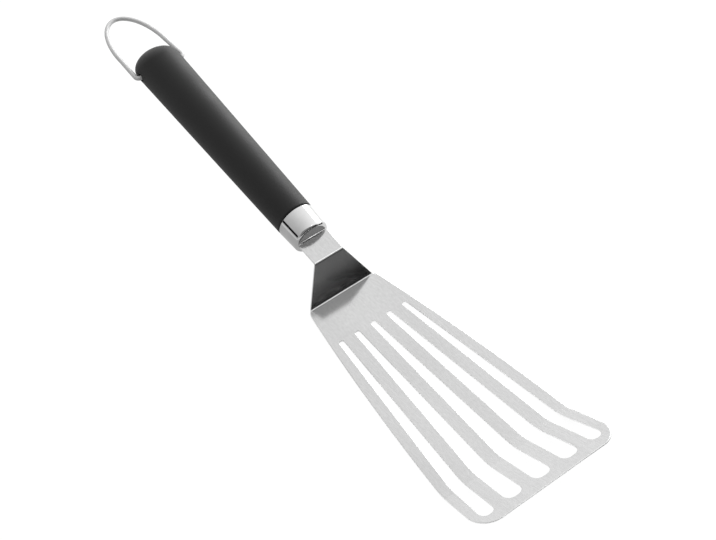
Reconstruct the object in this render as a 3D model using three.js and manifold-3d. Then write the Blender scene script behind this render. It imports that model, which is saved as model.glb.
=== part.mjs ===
// A griddle spatula: a slotted spring-steel blade with a cranked neck, pinned into a round
// handle that has a polished ferrule, a soft grip and a wire loop to hang it by.
//
// Millimetres. +X runs to the blade's tip, +Y to its left and +Z up. The origin lies on the
// blade's underside, in the middle of the solid pad between the heel and the slots.

import * as THREE from 'three';
import { mergeVertices } from 'three/addons/utils/BufferGeometryUtils.js';
import Module from 'manifold-3d';

const wasm = await Module();
wasm.setup();

const degrees = THREE.MathUtils.degToRad;

// Gap between pieces that sit against each other
const CLEARANCE = 0.3;

// Blade sheet: lengths run along the sheet, forwards from the heel's corner
const SHEET = 1;
const PAD_LENGTH = 29;
const SLOT_LENGTH = 148;
const FRONT_STRIP = 7;
const SHOULDER_LEAD = 1.4;
const SHOULDER_WIDTH = 48.8;
const SIDE_CURVE_WIDTH = 82.5;
const FRONT_WIDTH = 95.4;
const SHOULDER_RADIUS = 9;
const FRONT_CORNER_RADIUS = 12;
const TIP_LENGTH = 40;
const TIP_ANGLE = degrees(22.5);
const TIP_RADIUS = 30;

// Slots: widths of the centre slot and of those beside it, going outwards
const TINE_WIDTH = 8;
const SLOT_REAR_WIDTH = 3.3;
const SLOT_FRONT_WIDTHS = [11.5, 11.2, 8.7];
const SLOT_FRONT_RADIUS = 4.5;
const SLOT_ROUND_LIMIT = 0.45;

// Neck: the riser behind the heel and the shelf that runs to the ferrule
const RISER_HEIGHT = 22.8;
const RISER_ANGLE = degrees(66);
const HEEL_RADIUS = 2.2;
const FOLD_RADIUS = 1.6;
const SHELF_WIDTH = 20.5;
const SHELF_LENGTH = 15.4;
const HANDLE_ANGLE = degrees(9.7);

// Tang inside the handle, with its two pins
const TANG_WIDTH = 13;
const TANG_MARGIN = 8;
const PIN_RADIUS = 2;
const PIN_SETBACK = 10;
const PIN_SPACING = 24;

// Ferrule, a cap with a slotted front wall
const FERRULE_LENGTH = 15.8;
const FERRULE_FRONT_RADIUS = 11.4;
const FERRULE_EDGE_RADIUS = 2.5;
const FERRULE_WALL = 1.5;

// Grip sleeve round the core: its axis lies a little below the tang, and its tail slants
const AXIS_DROP = 0.8;
const GRIP_LENGTH = 156.6;
const GRIP_FRONT_RADIUS = 12.15;
const GRIP_TAIL_RADIUS = 14.75;
const GRIP_WALL = 3;
const GRIP_LIP_RADIUS = 0.8;
const TAIL_DOME = 11.5;
const TAIL_SLANT = degrees(20);
const CORE_MARGIN = 3;

// Hanging loop of round wire: two legs that draw in to a long round end
const WIRE_RADIUS = 1.4;
const LOOP_SETBACK = 15;
const LOOP_LENGTH = 55;
const LOOP_LEG = 20;
const LOOP_PIVOT_WIDTH = 34.4;
const LOOP_EYE_WIDTH = 32.6;
const LOOP_BEND_RADIUS = 2.6;
const LOOP_PIN_REACH = 6;
const LOOP_DROOP = degrees(6.6);

// Fineness of the faceted curves
const ARC_STEP = degrees(10);
const SIDE_CURVE_STEPS = 8;
const TAIL_DOME_STEPS = 8;
const LATHE_SIDES = 48;
const HOLE_SIDES = 24;
const WIRE_SIDES = 12;
const LOOP_END_STEPS = 36;
const WIRE_STEP = 2;

// Places along the blade, in plan
const heelX = -PAD_LENGTH / 2;
const bladeLength = PAD_LENGTH + SLOT_LENGTH + FRONT_STRIP;
const tipStart = bladeLength - TIP_LENGTH;
const foldX = heelX - RISER_HEIGHT / Math.tan(RISER_ANGLE);
const foldZ = SHEET / 2 + RISER_HEIGHT;

// Places along the handle, measured back from the fold at the top of the riser
const ferruleFront = SHELF_LENGTH + CLEARANCE;
const ferruleRear = ferruleFront + FERRULE_LENGTH;
const gripFront = ferruleRear + CLEARANCE;
const gripRear = gripFront + GRIP_LENGTH;
const gripDomeStart = gripRear - TAIL_DOME;
const pinPlaces = [gripFront + PIN_SETBACK, gripFront + PIN_SETBACK + PIN_SPACING];
const tangRear = pinPlaces[1] + TANG_MARGIN;
const coreFront = ferruleFront + FERRULE_WALL + CLEARANCE;
const loopPivot = gripRear - LOOP_SETBACK;
const coreRear = loopPivot + CORE_MARGIN;

const point = (x, y) => new THREE.Vector2(x, y);

/** Plan distance from the origin of a place that lies this far along the blade's sheet. */
function bladeX(along) {
  const flat = Math.min(along, tipStart);
  const raised = Math.max(along - tipStart, 0);
  return heelX + flat + raised * Math.cos(TIP_ANGLE);
}

/** Plan distance from the origin of a place that lies this far back along the handle. */
const handleX = (back) => foldX - back * Math.cos(HANDLE_ANGLE);

/** Outer radius of the grip where its side is straight. */
function gripRadius(back) {
  const share = (back - gripFront) / (gripDomeStart - gripFront);
  return THREE.MathUtils.lerp(GRIP_FRONT_RADIUS, GRIP_TAIL_RADIUS, share);
}

/** Radius of the core where the sleeve covers it. */
const coreRadius = (back) => gripRadius(back) - GRIP_WALL - CLEARANCE;

/** Arc of a radius that rounds the corner between two straight lines. */
function roundCorner(before, corner, after, radius) {
  const back = before.clone().sub(corner).normalize();
  const ahead = after.clone().sub(corner).normalize();
  const half = Math.acos(THREE.MathUtils.clamp(back.dot(ahead), -1, 1)) / 2;
  const middle = back.clone().add(ahead).normalize();
  const centre = corner.clone().addScaledVector(middle, radius / Math.sin(half));
  const turn = Math.PI - 2 * half;
  const sense = Math.sign(back.cross(ahead));
  const first = middle.clone().negate().multiplyScalar(radius);
  const steps = Math.max(1, Math.ceil(turn / ARC_STEP));
  const arc = [];
  for (let i = 0; i <= steps; i += 1) {
    const angle = sense * turn * (0.5 - i / steps);
    arc.push(first.clone().rotateAround(point(0, 0), angle).add(centre));
  }
  return arc;
}

/** Points of a line or a closed outline, with each corner rounded by its own radius. */
function roundCorners(corners, radii, closed) {
  return corners.flatMap((corner, i) => {
    const before = corners[(i + corners.length - 1) % corners.length];
    const after = corners[(i + 1) % corners.length];
    const isEnd = !closed && (i === 0 || i === corners.length - 1);
    return isEnd || radii[i] === 0 ? [corner] : roundCorner(before, corner, after, radii[i]);
  });
}

/** Closed outline of a strip of some thickness along a line. */
function thicken(line, thickness) {
  const left = [];
  const right = [];
  const last = line.length - 1;
  line.forEach((place, i) => {
    const arrive = line[Math.max(i, 1)].clone().sub(line[Math.max(i, 1) - 1]).normalize();
    const leave = line[Math.min(i, last - 1) + 1].clone().sub(line[Math.min(i, last - 1)]).normalize();
    const along = arrive.add(leave).normalize();
    const side = point(-along.y, along.x);
    const reach = thickness / 2 / along.dot(leave);
    left.push(place.clone().addScaledVector(side, reach));
    right.push(place.clone().addScaledVector(side, -reach));
  });
  return [...left, ...right.reverse()];
}

/** Solid for adding and cutting, from a closed geometry. */
function toSolid(geometry) {
  geometry.deleteAttribute('normal');
  geometry.deleteAttribute('uv');
  const merged = mergeVertices(geometry);
  const corners = merged.index.array;
  const triangles = [];
  for (let i = 0; i < corners.length; i += 3) {
    const [a, b, c] = [corners[i], corners[i + 1], corners[i + 2]];
    if (a !== b && b !== c && c !== a) triangles.push(a, b, c);
  }
  return new wasm.Manifold(new wasm.Mesh({
    numProp: 3,
    vertProperties: new Float32Array(merged.attributes.position.array),
    triVerts: new Uint32Array(triangles),
  }));
}

/** Named mesh of a solid. */
function toMesh(name, solid, material) {
  const { vertProperties, triVerts } = solid.getMesh();
  const geometry = new THREE.BufferGeometry();
  geometry.setAttribute('position', new THREE.BufferAttribute(vertProperties, 3));
  geometry.setIndex(new THREE.BufferAttribute(triVerts, 1));
  geometry.computeVertexNormals();
  const mesh = new THREE.Mesh(geometry, material);
  mesh.name = name;
  return mesh;
}

/** Upright prism on a plan outline. */
function prism(outline, low, high) {
  const shape = new THREE.Shape(outline);
  const geometry = new THREE.ExtrudeGeometry(shape, { depth: high - low, bevelEnabled: false });
  return toSolid(geometry.translate(0, 0, low));
}

/** Geometry turned about the handle's axis, from a profile of radius and distance back. */
function turnedGeometry(profile) {
  return new THREE.LatheGeometry(profile, LATHE_SIDES).rotateZ(Math.PI / 2);
}

/** Round bar along Y or Z, centred this far back on the handle's axis. */
function bar(radius, length, back, alongZ) {
  const geometry = new THREE.CylinderGeometry(radius, radius, length, HOLE_SIDES);
  if (alongZ) geometry.rotateX(Math.PI / 2);
  return geometry.translate(-back, 0, 0);
}

/** Space that the tang needs in the handle, between two places on its axis. */
function tangSpace(front, rear) {
  const height = SHEET + 2 * CLEARANCE;
  const geometry = new THREE.BoxGeometry(rear - front, TANG_WIDTH + 2 * CLEARANCE, height);
  return toSolid(geometry.translate(-(front + rear) / 2, 0, AXIS_DROP));
}

/** Side view of the sheet: tang, shelf, riser, blade and raised tip as one strip. */
function sheetStrip() {
  const spare = FRONT_STRIP;
  const tangReach = tangRear + spare;
  const tipReach = TIP_LENGTH + spare;
  const tipX = heelX + tipStart;
  const middle = SHEET / 2;
  const corners = [
    point(handleX(tangReach), foldZ + tangReach * Math.sin(HANDLE_ANGLE)),
    point(foldX, foldZ),
    point(heelX, middle),
    point(tipX, middle),
    point(tipX + tipReach * Math.cos(TIP_ANGLE), middle + tipReach * Math.sin(TIP_ANGLE)),
  ];
  const line = roundCorners(corners, [0, FOLD_RADIUS, HEEL_RADIUS, TIP_RADIUS, 0], false);
  const shape = new THREE.Shape(thicken(line, SHEET));
  const geometry = new THREE.ExtrudeGeometry(shape, { depth: 2 * FRONT_WIDTH, bevelEnabled: false });
  return toSolid(geometry.rotateX(Math.PI / 2).translate(0, FRONT_WIDTH, 0));
}

/** Plan outline of the sheet, with its rounded shoulders and front corners. */
function sheetOutline() {
  const shoulder = point(bladeX(SHOULDER_LEAD), SHOULDER_WIDTH / 2);
  const side = new THREE.QuadraticBezierCurve(
    point(SHOULDER_LEAD, SHOULDER_WIDTH / 2),
    point((SHOULDER_LEAD + bladeLength) / 2, SIDE_CURVE_WIDTH / 2),
    point(bladeLength, FRONT_WIDTH / 2),
  ).getPoints(SIDE_CURVE_STEPS).map(({ x, y }) => point(bladeX(x), y));
  const left = [
    point(handleX(tangRear), TANG_WIDTH / 2),
    point(handleX(SHELF_LENGTH), TANG_WIDTH / 2),
    point(handleX(SHELF_LENGTH), SHELF_WIDTH / 2),
    point(foldX, SHELF_WIDTH / 2),
    shoulder,
    ...side.slice(1),
  ];
  const radii = left.map(() => 0);
  radii[left.indexOf(shoulder)] = SHOULDER_RADIUS;
  radii[left.length - 1] = FRONT_CORNER_RADIUS;
  const right = left.map(({ x, y }) => point(x, -y)).reverse();
  return roundCorners([...left, ...right], [...radii, ...radii.slice().reverse()], true);
}

/** Plan outline of one slot, from its lower and upper edges at the rear and at the front. */
function slotOutline([rearLow, rearHigh], [frontLow, frontHigh]) {
  const rearX = bladeX(PAD_LENGTH);
  const frontX = bladeX(PAD_LENGTH + SLOT_LENGTH);
  const rearRadius = SLOT_ROUND_LIMIT * (rearHigh - rearLow);
  const frontRadius = Math.min(SLOT_FRONT_RADIUS, SLOT_ROUND_LIMIT * (frontHigh - frontLow));
  return roundCorners([
    point(rearX, rearLow),
    point(frontX, frontLow),
    point(frontX, frontHigh),
    point(rearX, rearHigh),
  ], [rearRadius, frontRadius, frontRadius, rearRadius], true);
}

/** Plan outlines of the slots, fanned between tines of one width. */
function slotOutlines() {
  let rear = SLOT_REAR_WIDTH / 2;
  let front = SLOT_FRONT_WIDTHS[0] / 2;
  const outlines = [slotOutline([-rear, rear], [-front, front])];
  for (const width of SLOT_FRONT_WIDTHS.slice(1)) {
    const rearInner = rear + TINE_WIDTH;
    const frontInner = front + TINE_WIDTH;
    rear = rearInner + SLOT_REAR_WIDTH;
    front = frontInner + width;
    outlines.push(slotOutline([rearInner, rear], [frontInner, front]));
    outlines.push(slotOutline([-rear, -rearInner], [-front, -frontInner]));
  }
  return outlines;
}

/** The whole formed sheet, with its slots and the pins' holes. */
function bladeSolid(handleMatrix) {
  const top = foldZ + tangRear;
  let solid = sheetStrip().intersect(prism(sheetOutline(), -top, top));
  for (const outline of slotOutlines()) solid = solid.subtract(prism(outline, -top, top));
  for (const place of pinPlaces) {
    const hole = bar(PIN_RADIUS + CLEARANCE, 2 * GRIP_FRONT_RADIUS, place, true);
    solid = solid.subtract(toSolid(hole.applyMatrix4(handleMatrix)));
  }
  return solid;
}

/** Polished cap: a rounded front edge, a slotted front wall and a hollow for the core's nose. */
function ferruleSolid() {
  const innerFront = FERRULE_FRONT_RADIUS - FERRULE_WALL;
  const innerRear = GRIP_FRONT_RADIUS - FERRULE_WALL;
  const profile = roundCorners([
    point(0, ferruleFront),
    point(FERRULE_FRONT_RADIUS, ferruleFront),
    point(GRIP_FRONT_RADIUS, ferruleRear),
    point(innerRear, ferruleRear),
    point(innerFront, ferruleFront + FERRULE_WALL),
    point(0, ferruleFront + FERRULE_WALL),
  ], [0, FERRULE_EDGE_RADIUS, 0, 0, 0, 0], false);
  const wallMiddle = ferruleFront + FERRULE_WALL / 2;
  const slot = tangSpace(wallMiddle - FERRULE_WALL, wallMiddle + FERRULE_WALL);
  return toSolid(turnedGeometry(profile)).subtract(slot);
}

/** Hard core: a nose in the ferrule, a body in the sleeve, and room for tang, pins and loop. */
function coreSolid() {
  const noseInset = FERRULE_WALL + CLEARANCE;
  const profile = [
    point(0, coreFront),
    point(FERRULE_FRONT_RADIUS - noseInset, coreFront),
    point(GRIP_FRONT_RADIUS - noseInset, ferruleRear),
    point(coreRadius(ferruleRear), ferruleRear),
    point(coreRadius(coreRear), coreRear),
    point(0, coreRear),
  ];
  const slot = tangSpace(ferruleFront, tangRear + CLEARANCE);
  let solid = toSolid(turnedGeometry(profile)).subtract(slot);
  for (const place of pinPlaces) {
    const hole = bar(PIN_RADIUS + CLEARANCE, 2 * GRIP_FRONT_RADIUS, place, true);
    solid = solid.subtract(toSolid(hole));
  }
  return solid.subtract(loopBore());
}

/** Hole right across the handle for the loop's ends. */
function loopBore() {
  return toSolid(bar(WIRE_RADIUS + CLEARANCE, 4 * GRIP_TAIL_RADIUS, loopPivot, false));
}

/** Moves the tail's rings along the axis, so that the dome leans with its top forwards. */
function slantTail(geometry) {
  const places = geometry.attributes.position;
  for (let i = 0; i < places.count; i += 1) {
    const isTail = -places.getX(i) > gripDomeStart - CLEARANCE;
    if (isTail) places.setX(i, places.getX(i) + places.getZ(i) * Math.tan(TAIL_SLANT));
  }
  return geometry;
}

/** Soft sleeve: a straight taper with a small front lip and a domed, slanted, closed tail. */
function gripSolid() {
  const dome = new THREE.EllipseCurve(0, gripDomeStart, GRIP_TAIL_RADIUS, TAIL_DOME, 0, Math.PI / 2);
  const corners = [
    point(0, gripFront),
    point(GRIP_FRONT_RADIUS, gripFront),
    ...dome.getPoints(TAIL_DOME_STEPS),
  ];
  const radii = corners.map(() => 0);
  radii[1] = GRIP_LIP_RADIUS;
  const outside = slantTail(turnedGeometry(roundCorners(corners, radii, false)));
  const boreRear = coreRear + CLEARANCE;
  const inside = turnedGeometry([
    point(0, ferruleRear),
    point(gripRadius(ferruleRear) - GRIP_WALL, ferruleRear),
    point(gripRadius(boreRear) - GRIP_WALL, boreRear),
    point(0, boreRear),
  ]);
  return toSolid(outside).subtract(toSolid(inside)).subtract(loopBore());
}

/** Plain steel pin, flush with the core. */
function pinSolid(place) {
  const half = Math.sqrt(coreRadius(place) ** 2 - PIN_RADIUS ** 2);
  return toSolid(bar(PIN_RADIUS, 2 * half, place, true));
}

/** Wire loop in its own plane, pivoting on Y, with its ends turned in to the core. */
function loopSolid() {
  const stub = coreRadius(loopPivot) - LOOP_PIN_REACH;
  const eye = LOOP_EYE_WIDTH / 2;
  const end = new THREE.EllipseCurve(-LOOP_LEG, 0, LOOP_LENGTH - LOOP_LEG, eye, Math.PI / 2, 1.5 * Math.PI);
  const leg = roundCorners([
    point(0, stub),
    point(0, LOOP_PIVOT_WIDTH / 2),
    point(-LOOP_LEG, eye),
  ], [0, LOOP_BEND_RADIUS, 0], false);
  const otherLeg = leg.map(({ x, y }) => point(x, -y)).reverse();
  const line = [...leg, ...end.getPoints(LOOP_END_STEPS).slice(1, -1), ...otherLeg]
    .map(({ x, y }) => new THREE.Vector3(x, y, 0));
  const path = new THREE.CurvePath();
  for (let i = 1; i < line.length; i += 1) path.add(new THREE.LineCurve3(line[i - 1], line[i]));
  const section = new THREE.Shape();
  section.absarc(0, 0, WIRE_RADIUS, 0, 2 * Math.PI);
  return toSolid(new THREE.ExtrudeGeometry(section, {
    extrudePath: path,
    steps: Math.ceil(path.getLength() / WIRE_STEP),
    curveSegments: WIRE_SIDES / 2,
  }));
}

const satinSteel = new THREE.MeshStandardMaterial({ color: 0xc9cacc, roughness: 0.32, metalness: 1 });
const polishedSteel = new THREE.MeshStandardMaterial({ color: 0xdadbdd, roughness: 0.1, metalness: 1 });
const plainSteel = new THREE.MeshStandardMaterial({ color: 0xa8a9ab, roughness: 0.4, metalness: 1 });
const hardNylon = new THREE.MeshStandardMaterial({ color: 0x1c1c1e, roughness: 0.5, metalness: 0 });
const softBlack = new THREE.MeshStandardMaterial({ color: 0x2b2b2c, roughness: 0.7, metalness: 0 });

// The handle's frame stands on the fold: its -X runs back along the tang, its +Z off the tang
const spatula = new THREE.Group();
const handle = new THREE.Group();
handle.position.set(foldX, 0, foldZ);
handle.rotation.y = HANDLE_ANGLE;
handle.updateMatrixWorld();
spatula.add(toMesh('blade', bladeSolid(handle.matrixWorld), satinSteel), handle);

// Turned pieces sit on the grip's axis, just below the tang
const turnedPieces = new THREE.Group();
turnedPieces.position.z = -AXIS_DROP;
turnedPieces.add(
  toMesh('ferrule', ferruleSolid(), polishedSteel),
  toMesh('handle_core', coreSolid(), hardNylon),
  toMesh('grip_sleeve', gripSolid(), softBlack),
  toMesh('tang_pin_front', pinSolid(pinPlaces[0]), plainSteel),
  toMesh('tang_pin_rear', pinSolid(pinPlaces[1]), plainSteel),
);
handle.add(turnedPieces);

const hangingLoop = toMesh('hanging_loop', loopSolid(), polishedSteel);
hangingLoop.position.x = -loopPivot;
hangingLoop.rotation.y = -LOOP_DROOP;
turnedPieces.add(hangingLoop);

export default spatula;
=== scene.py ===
"""Visual model of a slotted griddle spatula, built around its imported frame.

The classes hold their sizes in millimetres, as on a drawing, and make meshes in metres. The studio and the
camera are set out in metres. +X runs to the blade's tip, +Y to its left and +Z up, with the origin on the
blade's underside.
"""

import logging
import math
from dataclasses import dataclass, field
from enum import Enum

import bmesh
import bpy
from mathutils import Matrix, Vector

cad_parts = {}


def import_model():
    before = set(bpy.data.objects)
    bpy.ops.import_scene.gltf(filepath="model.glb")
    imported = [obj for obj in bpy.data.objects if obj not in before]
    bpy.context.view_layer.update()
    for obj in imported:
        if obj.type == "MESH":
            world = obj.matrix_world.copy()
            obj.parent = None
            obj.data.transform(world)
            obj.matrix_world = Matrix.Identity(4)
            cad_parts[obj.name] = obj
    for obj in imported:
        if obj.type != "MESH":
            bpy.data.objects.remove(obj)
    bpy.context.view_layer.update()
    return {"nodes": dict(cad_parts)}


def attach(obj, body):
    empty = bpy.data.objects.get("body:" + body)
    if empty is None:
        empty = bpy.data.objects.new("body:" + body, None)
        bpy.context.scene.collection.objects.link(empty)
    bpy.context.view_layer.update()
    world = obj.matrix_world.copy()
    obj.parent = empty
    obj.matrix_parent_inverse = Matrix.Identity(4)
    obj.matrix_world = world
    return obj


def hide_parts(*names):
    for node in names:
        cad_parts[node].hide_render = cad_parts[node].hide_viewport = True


log = logging.getLogger("griddle_spatula")

MM = 0.001

# The gap between pieces that fit together.
CLEARANCE = 0.3

# The flat sheet's own map, and the attribute that holds which way its surface faces.
FLAT_MAP = "flat"
LEAN = "lean"

# The values that most of a noise lies between, and the detail of fine and of plain noises.
NOISE_SPAN = (0.3, 0.7)
FINE = 3.0
PLAIN = 2.0

# The height of cards that lie on the floor, and the turn of the two that shade the riser.
FLOOR_CARD_LEVEL = -0.0003
FLOOR_CARD_SPIN = math.radians(7.1)

Point = tuple[float, float]
Triple = tuple[float, float, float]


class Body(Enum):
    """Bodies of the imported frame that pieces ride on."""

    SPATULA = "spatula"
    LOOP = "loop"


class Slot(Enum):
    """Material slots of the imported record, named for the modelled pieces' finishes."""

    SATIN_STEEL = "satin_steel"
    POLISHED_STEEL = "polished_steel"
    SOFT_BLACK = "soft_black"


class Work(Enum):
    """What a tool's solid does to a piece."""

    CUT = "DIFFERENCE"
    JOIN = "UNION"


class NodeBuilder:
    """Adds and links the nodes of one shader or geometry tree."""

    def __init__(self, tree: bpy.types.NodeTree) -> None:
        """Keeps the tree that nodes go into.

        Args:
            tree: a node tree, new or cleared.
        """
        self.tree = tree

    def add(self, kind: str, inputs: dict | None = None, **settings: object) -> bpy.types.Node:
        """Adds one node.

        Args:
            kind: Blender's type name of the node.
            inputs: socket name or number to a value, or to a socket that links to it.
            **settings: the node's own properties, set before its inputs.

        Returns:
            The new node.
        """
        node = self.tree.nodes.new(kind)
        for name, value in settings.items():
            setattr(node, name, value)
        for key, value in (inputs or {}).items():
            self.feed(node.inputs[key], value)
        return node

    def feed(self, socket: bpy.types.NodeSocket, value: object) -> None:
        """Links a socket to another, or sets its value.

        Args:
            socket: the input to feed.
            value: an output socket, or a plain value.
        """
        if isinstance(value, bpy.types.NodeSocket):
            self.tree.links.new(value, socket)
        else:
            socket.default_value = value

    def math(self, operation: str, *values: object) -> bpy.types.NodeSocket:
        """Adds a Math node of an operation on numbers or sockets, and returns its result."""
        return self.add("ShaderNodeMath", dict(enumerate(values)), operation=operation).outputs[0]

    def vector(self, operation: str, *values: object) -> bpy.types.NodeSocket:
        """Adds a Vector Math node of an operation on vectors or sockets, and returns its vector."""
        return self.add("ShaderNodeVectorMath", dict(enumerate(values)), operation=operation).outputs[0]

    def scaled(self, vector: bpy.types.NodeSocket, factor: bpy.types.NodeSocket) -> bpy.types.NodeSocket:
        """Returns a vector times a number."""
        inputs = {0: vector, "Scale": factor}
        return self.add("ShaderNodeVectorMath", inputs, operation="SCALE").outputs[0]

    def split(self, vector: bpy.types.NodeSocket) -> bpy.types.bpy_prop_collection:
        """Returns the sockets of a vector's X, Y and Z."""
        return self.add("ShaderNodeSeparateXYZ", {0: vector}).outputs

    def joined(self, axes: dict[str, object]) -> bpy.types.NodeSocket:
        """Returns a vector of the axes that are given, with 0 for the others."""
        return self.add("ShaderNodeCombineXYZ", axes).outputs[0]

    def grey(self, value: bpy.types.NodeSocket) -> bpy.types.NodeSocket:
        """Returns the neutral colour of a number."""
        inputs = {"Red": value, "Green": value, "Blue": value}
        return self.add("ShaderNodeCombineColor", inputs).outputs[0]

    def mapped(
        self,
        value: bpy.types.NodeSocket,
        low: object,
        high: object,
        start: float = 0.0,
        end: float = 1.0,
    ) -> bpy.types.NodeSocket:
        """Maps a value onto a range, and keeps it within that range.

        Args:
            value: the value's socket.
            low: the result at the start, as a number or a socket.
            high: the result at the end, as a number or a socket.
            start: the value at the start.
            end: the value at the end.

        Returns:
            The mapped value's socket.
        """
        inputs = {"Value": value, "From Min": start, "From Max": end, "To Min": low, "To Max": high}
        return self.add("ShaderNodeMapRange", inputs).outputs["Result"]

    def ranged(self, value: bpy.types.NodeSocket, span: Point) -> bpy.types.NodeSocket:
        """Maps a noise's usual values onto a span from low to high."""
        return self.mapped(value, *span, *NOISE_SPAN)

    def noise(self, place: bpy.types.NodeSocket, waves: Triple, detail: float) -> bpy.types.NodeSocket:
        """Adds a noise that is stretched along each axis by its own measure.

        Args:
            place: coordinates in metres.
            waves: waves per metre along each axis.
            detail: the noise's detail.

        Returns:
            The noise's value.
        """
        stretched = self.vector("MULTIPLY", place, waves)
        inputs = {"Vector": stretched, "Scale": 1.0, "Detail": detail}
        return self.add("ShaderNodeTexNoise", inputs).outputs["Fac"]


class FinishMaterial(NodeBuilder):
    """A node material with one Principled shader, and the builder of its tree."""

    def __init__(self, name: str) -> None:
        """Makes the material.

        Args:
            name: the material's name.
        """
        self.material = bpy.data.materials.new(name)
        self.material.use_nodes = True
        super().__init__(self.material.node_tree)
        self.shader = self.tree.nodes["Principled BSDF"]

    def place(self) -> bpy.types.NodeSocket:
        """Returns the object's own coordinates, in metres."""
        return self.add("ShaderNodeTexCoord").outputs["Object"]

    def blend(self, *parts: tuple[bpy.types.NodeSocket, float]) -> bpy.types.NodeSocket:
        """Adds values up, each times its share.

        Args:
            *parts: each value's socket with its share.

        Returns:
            The sum's socket.
        """
        total = 0.0
        for value, share in parts:
            total = self.math("MULTIPLY_ADD", value, share, total)
        return total

    def bump(self, height: bpy.types.NodeSocket, strength: float, depth: float) -> bpy.types.NodeSocket:
        """Returns the normal of a surface that a height presses in by a depth in metres."""
        inputs = {"Height": height, "Strength": strength, "Distance": depth}
        return self.add("ShaderNodeBump", inputs).outputs[0]

    def dress(self, looks: dict[str, object]) -> bpy.types.Material:
        """Feeds the shader.

        Args:
            looks: name of each of its inputs to a value, or to a socket that links to it.

        Returns:
            The finished material.
        """
        for name, value in looks.items():
            self.feed(self.shader.inputs[name], value)
        return self.material


def flat_grey(level: float) -> tuple[float, float, float, float]:
    """Returns a neutral colour of one level."""
    return (level, level, level, 1.0)


@dataclass(frozen=True)
class SatinSteelFinish:
    """Brushed stainless sheet: fine lines and a short grain along it, which blur what it mirrors."""

    shade: Point = (0.45, 0.57)
    grazing: float = 0.5
    roughness: Point = (0.13, 0.19)
    line_waves: Triple = (9.0, 2600.0, 1.0)
    grain_waves: Triple = (330.0, 900.0, 1.0)
    cloud_waves: Triple = (14.0, 30.0, 1.0)
    line_share: float = 0.35
    grain_share: float = 0.4
    cloud_share: float = 0.25
    line_depth: float = 0.004 * MM
    line_strength: float = 0.3
    # A quarter turn lays the blur across the lines.
    anisotropy: float = 0.35
    across: float = 0.25
    # Cut edges, whose look fades out where the surface's upright part rises from cut_from to 1. Their pale
    # shade is partly bright fresh-cut metal and partly a painted highlight for the light that the edges
    # catch.
    cut_shade_and_highlight: float = 0.95
    cut_roughness: float = 0.45
    cut_from: float = 0.6

    def build(self) -> bpy.types.Material:
        """Makes the material, whose lines follow the flat pattern's own map.

        Returns:
            The material.
        """
        made = FinishMaterial("brushed_sheet")
        flat = made.add("ShaderNodeUVMap", uv_map=FLAT_MAP).outputs[0]
        lines = made.noise(flat, self.line_waves, FINE)
        grain = made.noise(flat, self.grain_waves, PLAIN)
        clouds = made.noise(flat, self.cloud_waves, PLAIN)
        parts = (clouds, self.cloud_share), (grain, self.grain_share), (lines, self.line_share)
        brushed = made.blend(*parts)
        # The stored lean is upright on the sheet's faces and level on its cut edges, which are paler:
        # partly fresh-cut metal, partly a painted highlight.
        lean = made.add("ShaderNodeAttribute", attribute_name=LEAN).outputs["Vector"]
        upright = made.math("ABSOLUTE", made.split(lean)["Z"])
        shade = made.mapped(upright, self.cut_shade_and_highlight, made.ranged(brushed, self.shade), self.cut_from)
        dullness = made.ranged(brushed, self.roughness)
        tangent = made.add("ShaderNodeTangent", direction_type="UV_MAP", uv_map=FLAT_MAP)
        return made.dress({
            "Base Color": made.grey(shade),
            "Metallic": 1.0,
            "Roughness": made.mapped(upright, self.cut_roughness, dullness, self.cut_from),
            "Specular Tint": flat_grey(self.grazing),
            "Anisotropic": self.anisotropy,
            "Anisotropic Rotation": self.across,
            "Tangent": tangent.outputs[0],
            "Normal": made.bump(lines, self.line_strength, self.line_depth),
        })


@dataclass(frozen=True)
class PolishedSteelFinish:
    """Mirror-polished steel with a faint haze and hairlines from handling."""

    shade: Point = (0.53, 0.6)
    roughness: Point = (0.04, 0.08)
    haze_waves: Triple = (90.0, 90.0, 90.0)
    hair_waves: Triple = (60.0, 2400.0, 2400.0)
    haze_share: float = 0.7
    hair_share: float = 0.3

    def build(self) -> bpy.types.Material:
        """Makes the material, in the object's own coordinates.

        Returns:
            The material.
        """
        made = FinishMaterial("polished_cap")
        place = made.place()
        haze = made.noise(place, self.haze_waves, FINE)
        hairs = made.noise(place, self.hair_waves, PLAIN)
        worn = made.blend((haze, self.haze_share), (hairs, self.hair_share))
        return made.dress({
            "Base Color": made.grey(made.ranged(haze, self.shade)),
            "Metallic": 1.0,
            "Roughness": made.ranged(worn, self.roughness),
        })


@dataclass(frozen=True)
class GrainedFinish:
    """A plain finish with one even grain, in the object's own coordinates."""

    name: str
    shade: Point
    roughness: Point
    waves: Triple
    metallic: float = 0.0
    grazing: float = 1.0

    def build(self) -> bpy.types.Material:
        """Makes the material.

        Returns:
            The material.
        """
        made = FinishMaterial(self.name)
        grain = made.noise(made.place(), self.waves, FINE)
        return made.dress({
            "Base Color": made.grey(made.ranged(grain, self.shade)),
            "Metallic": self.metallic,
            "Roughness": made.ranged(grain, self.roughness),
            "Specular Tint": flat_grey(self.grazing),
        })


# Satin wire of the loop, which blurs what it mirrors to an even grey.
DRAWN_WIRE = GrainedFinish(
    "drawn_wire", (0.57, 0.66), (0.68, 0.78), (240.0, 240.0, 240.0), metallic=1.0, grazing=0.45
)
# Pin wire, left as it comes.
DRAWN_PIN = GrainedFinish("drawn_pin", (0.5, 0.62), (0.32, 0.45), (900.0, 900.0, 120.0), metallic=1.0)
# Moulded black nylon of the hidden core.
MOULDED_NYLON = GrainedFinish("moulded_nylon", (0.01, 0.016), (0.4, 0.55), (700.0, 700.0, 700.0))


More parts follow.
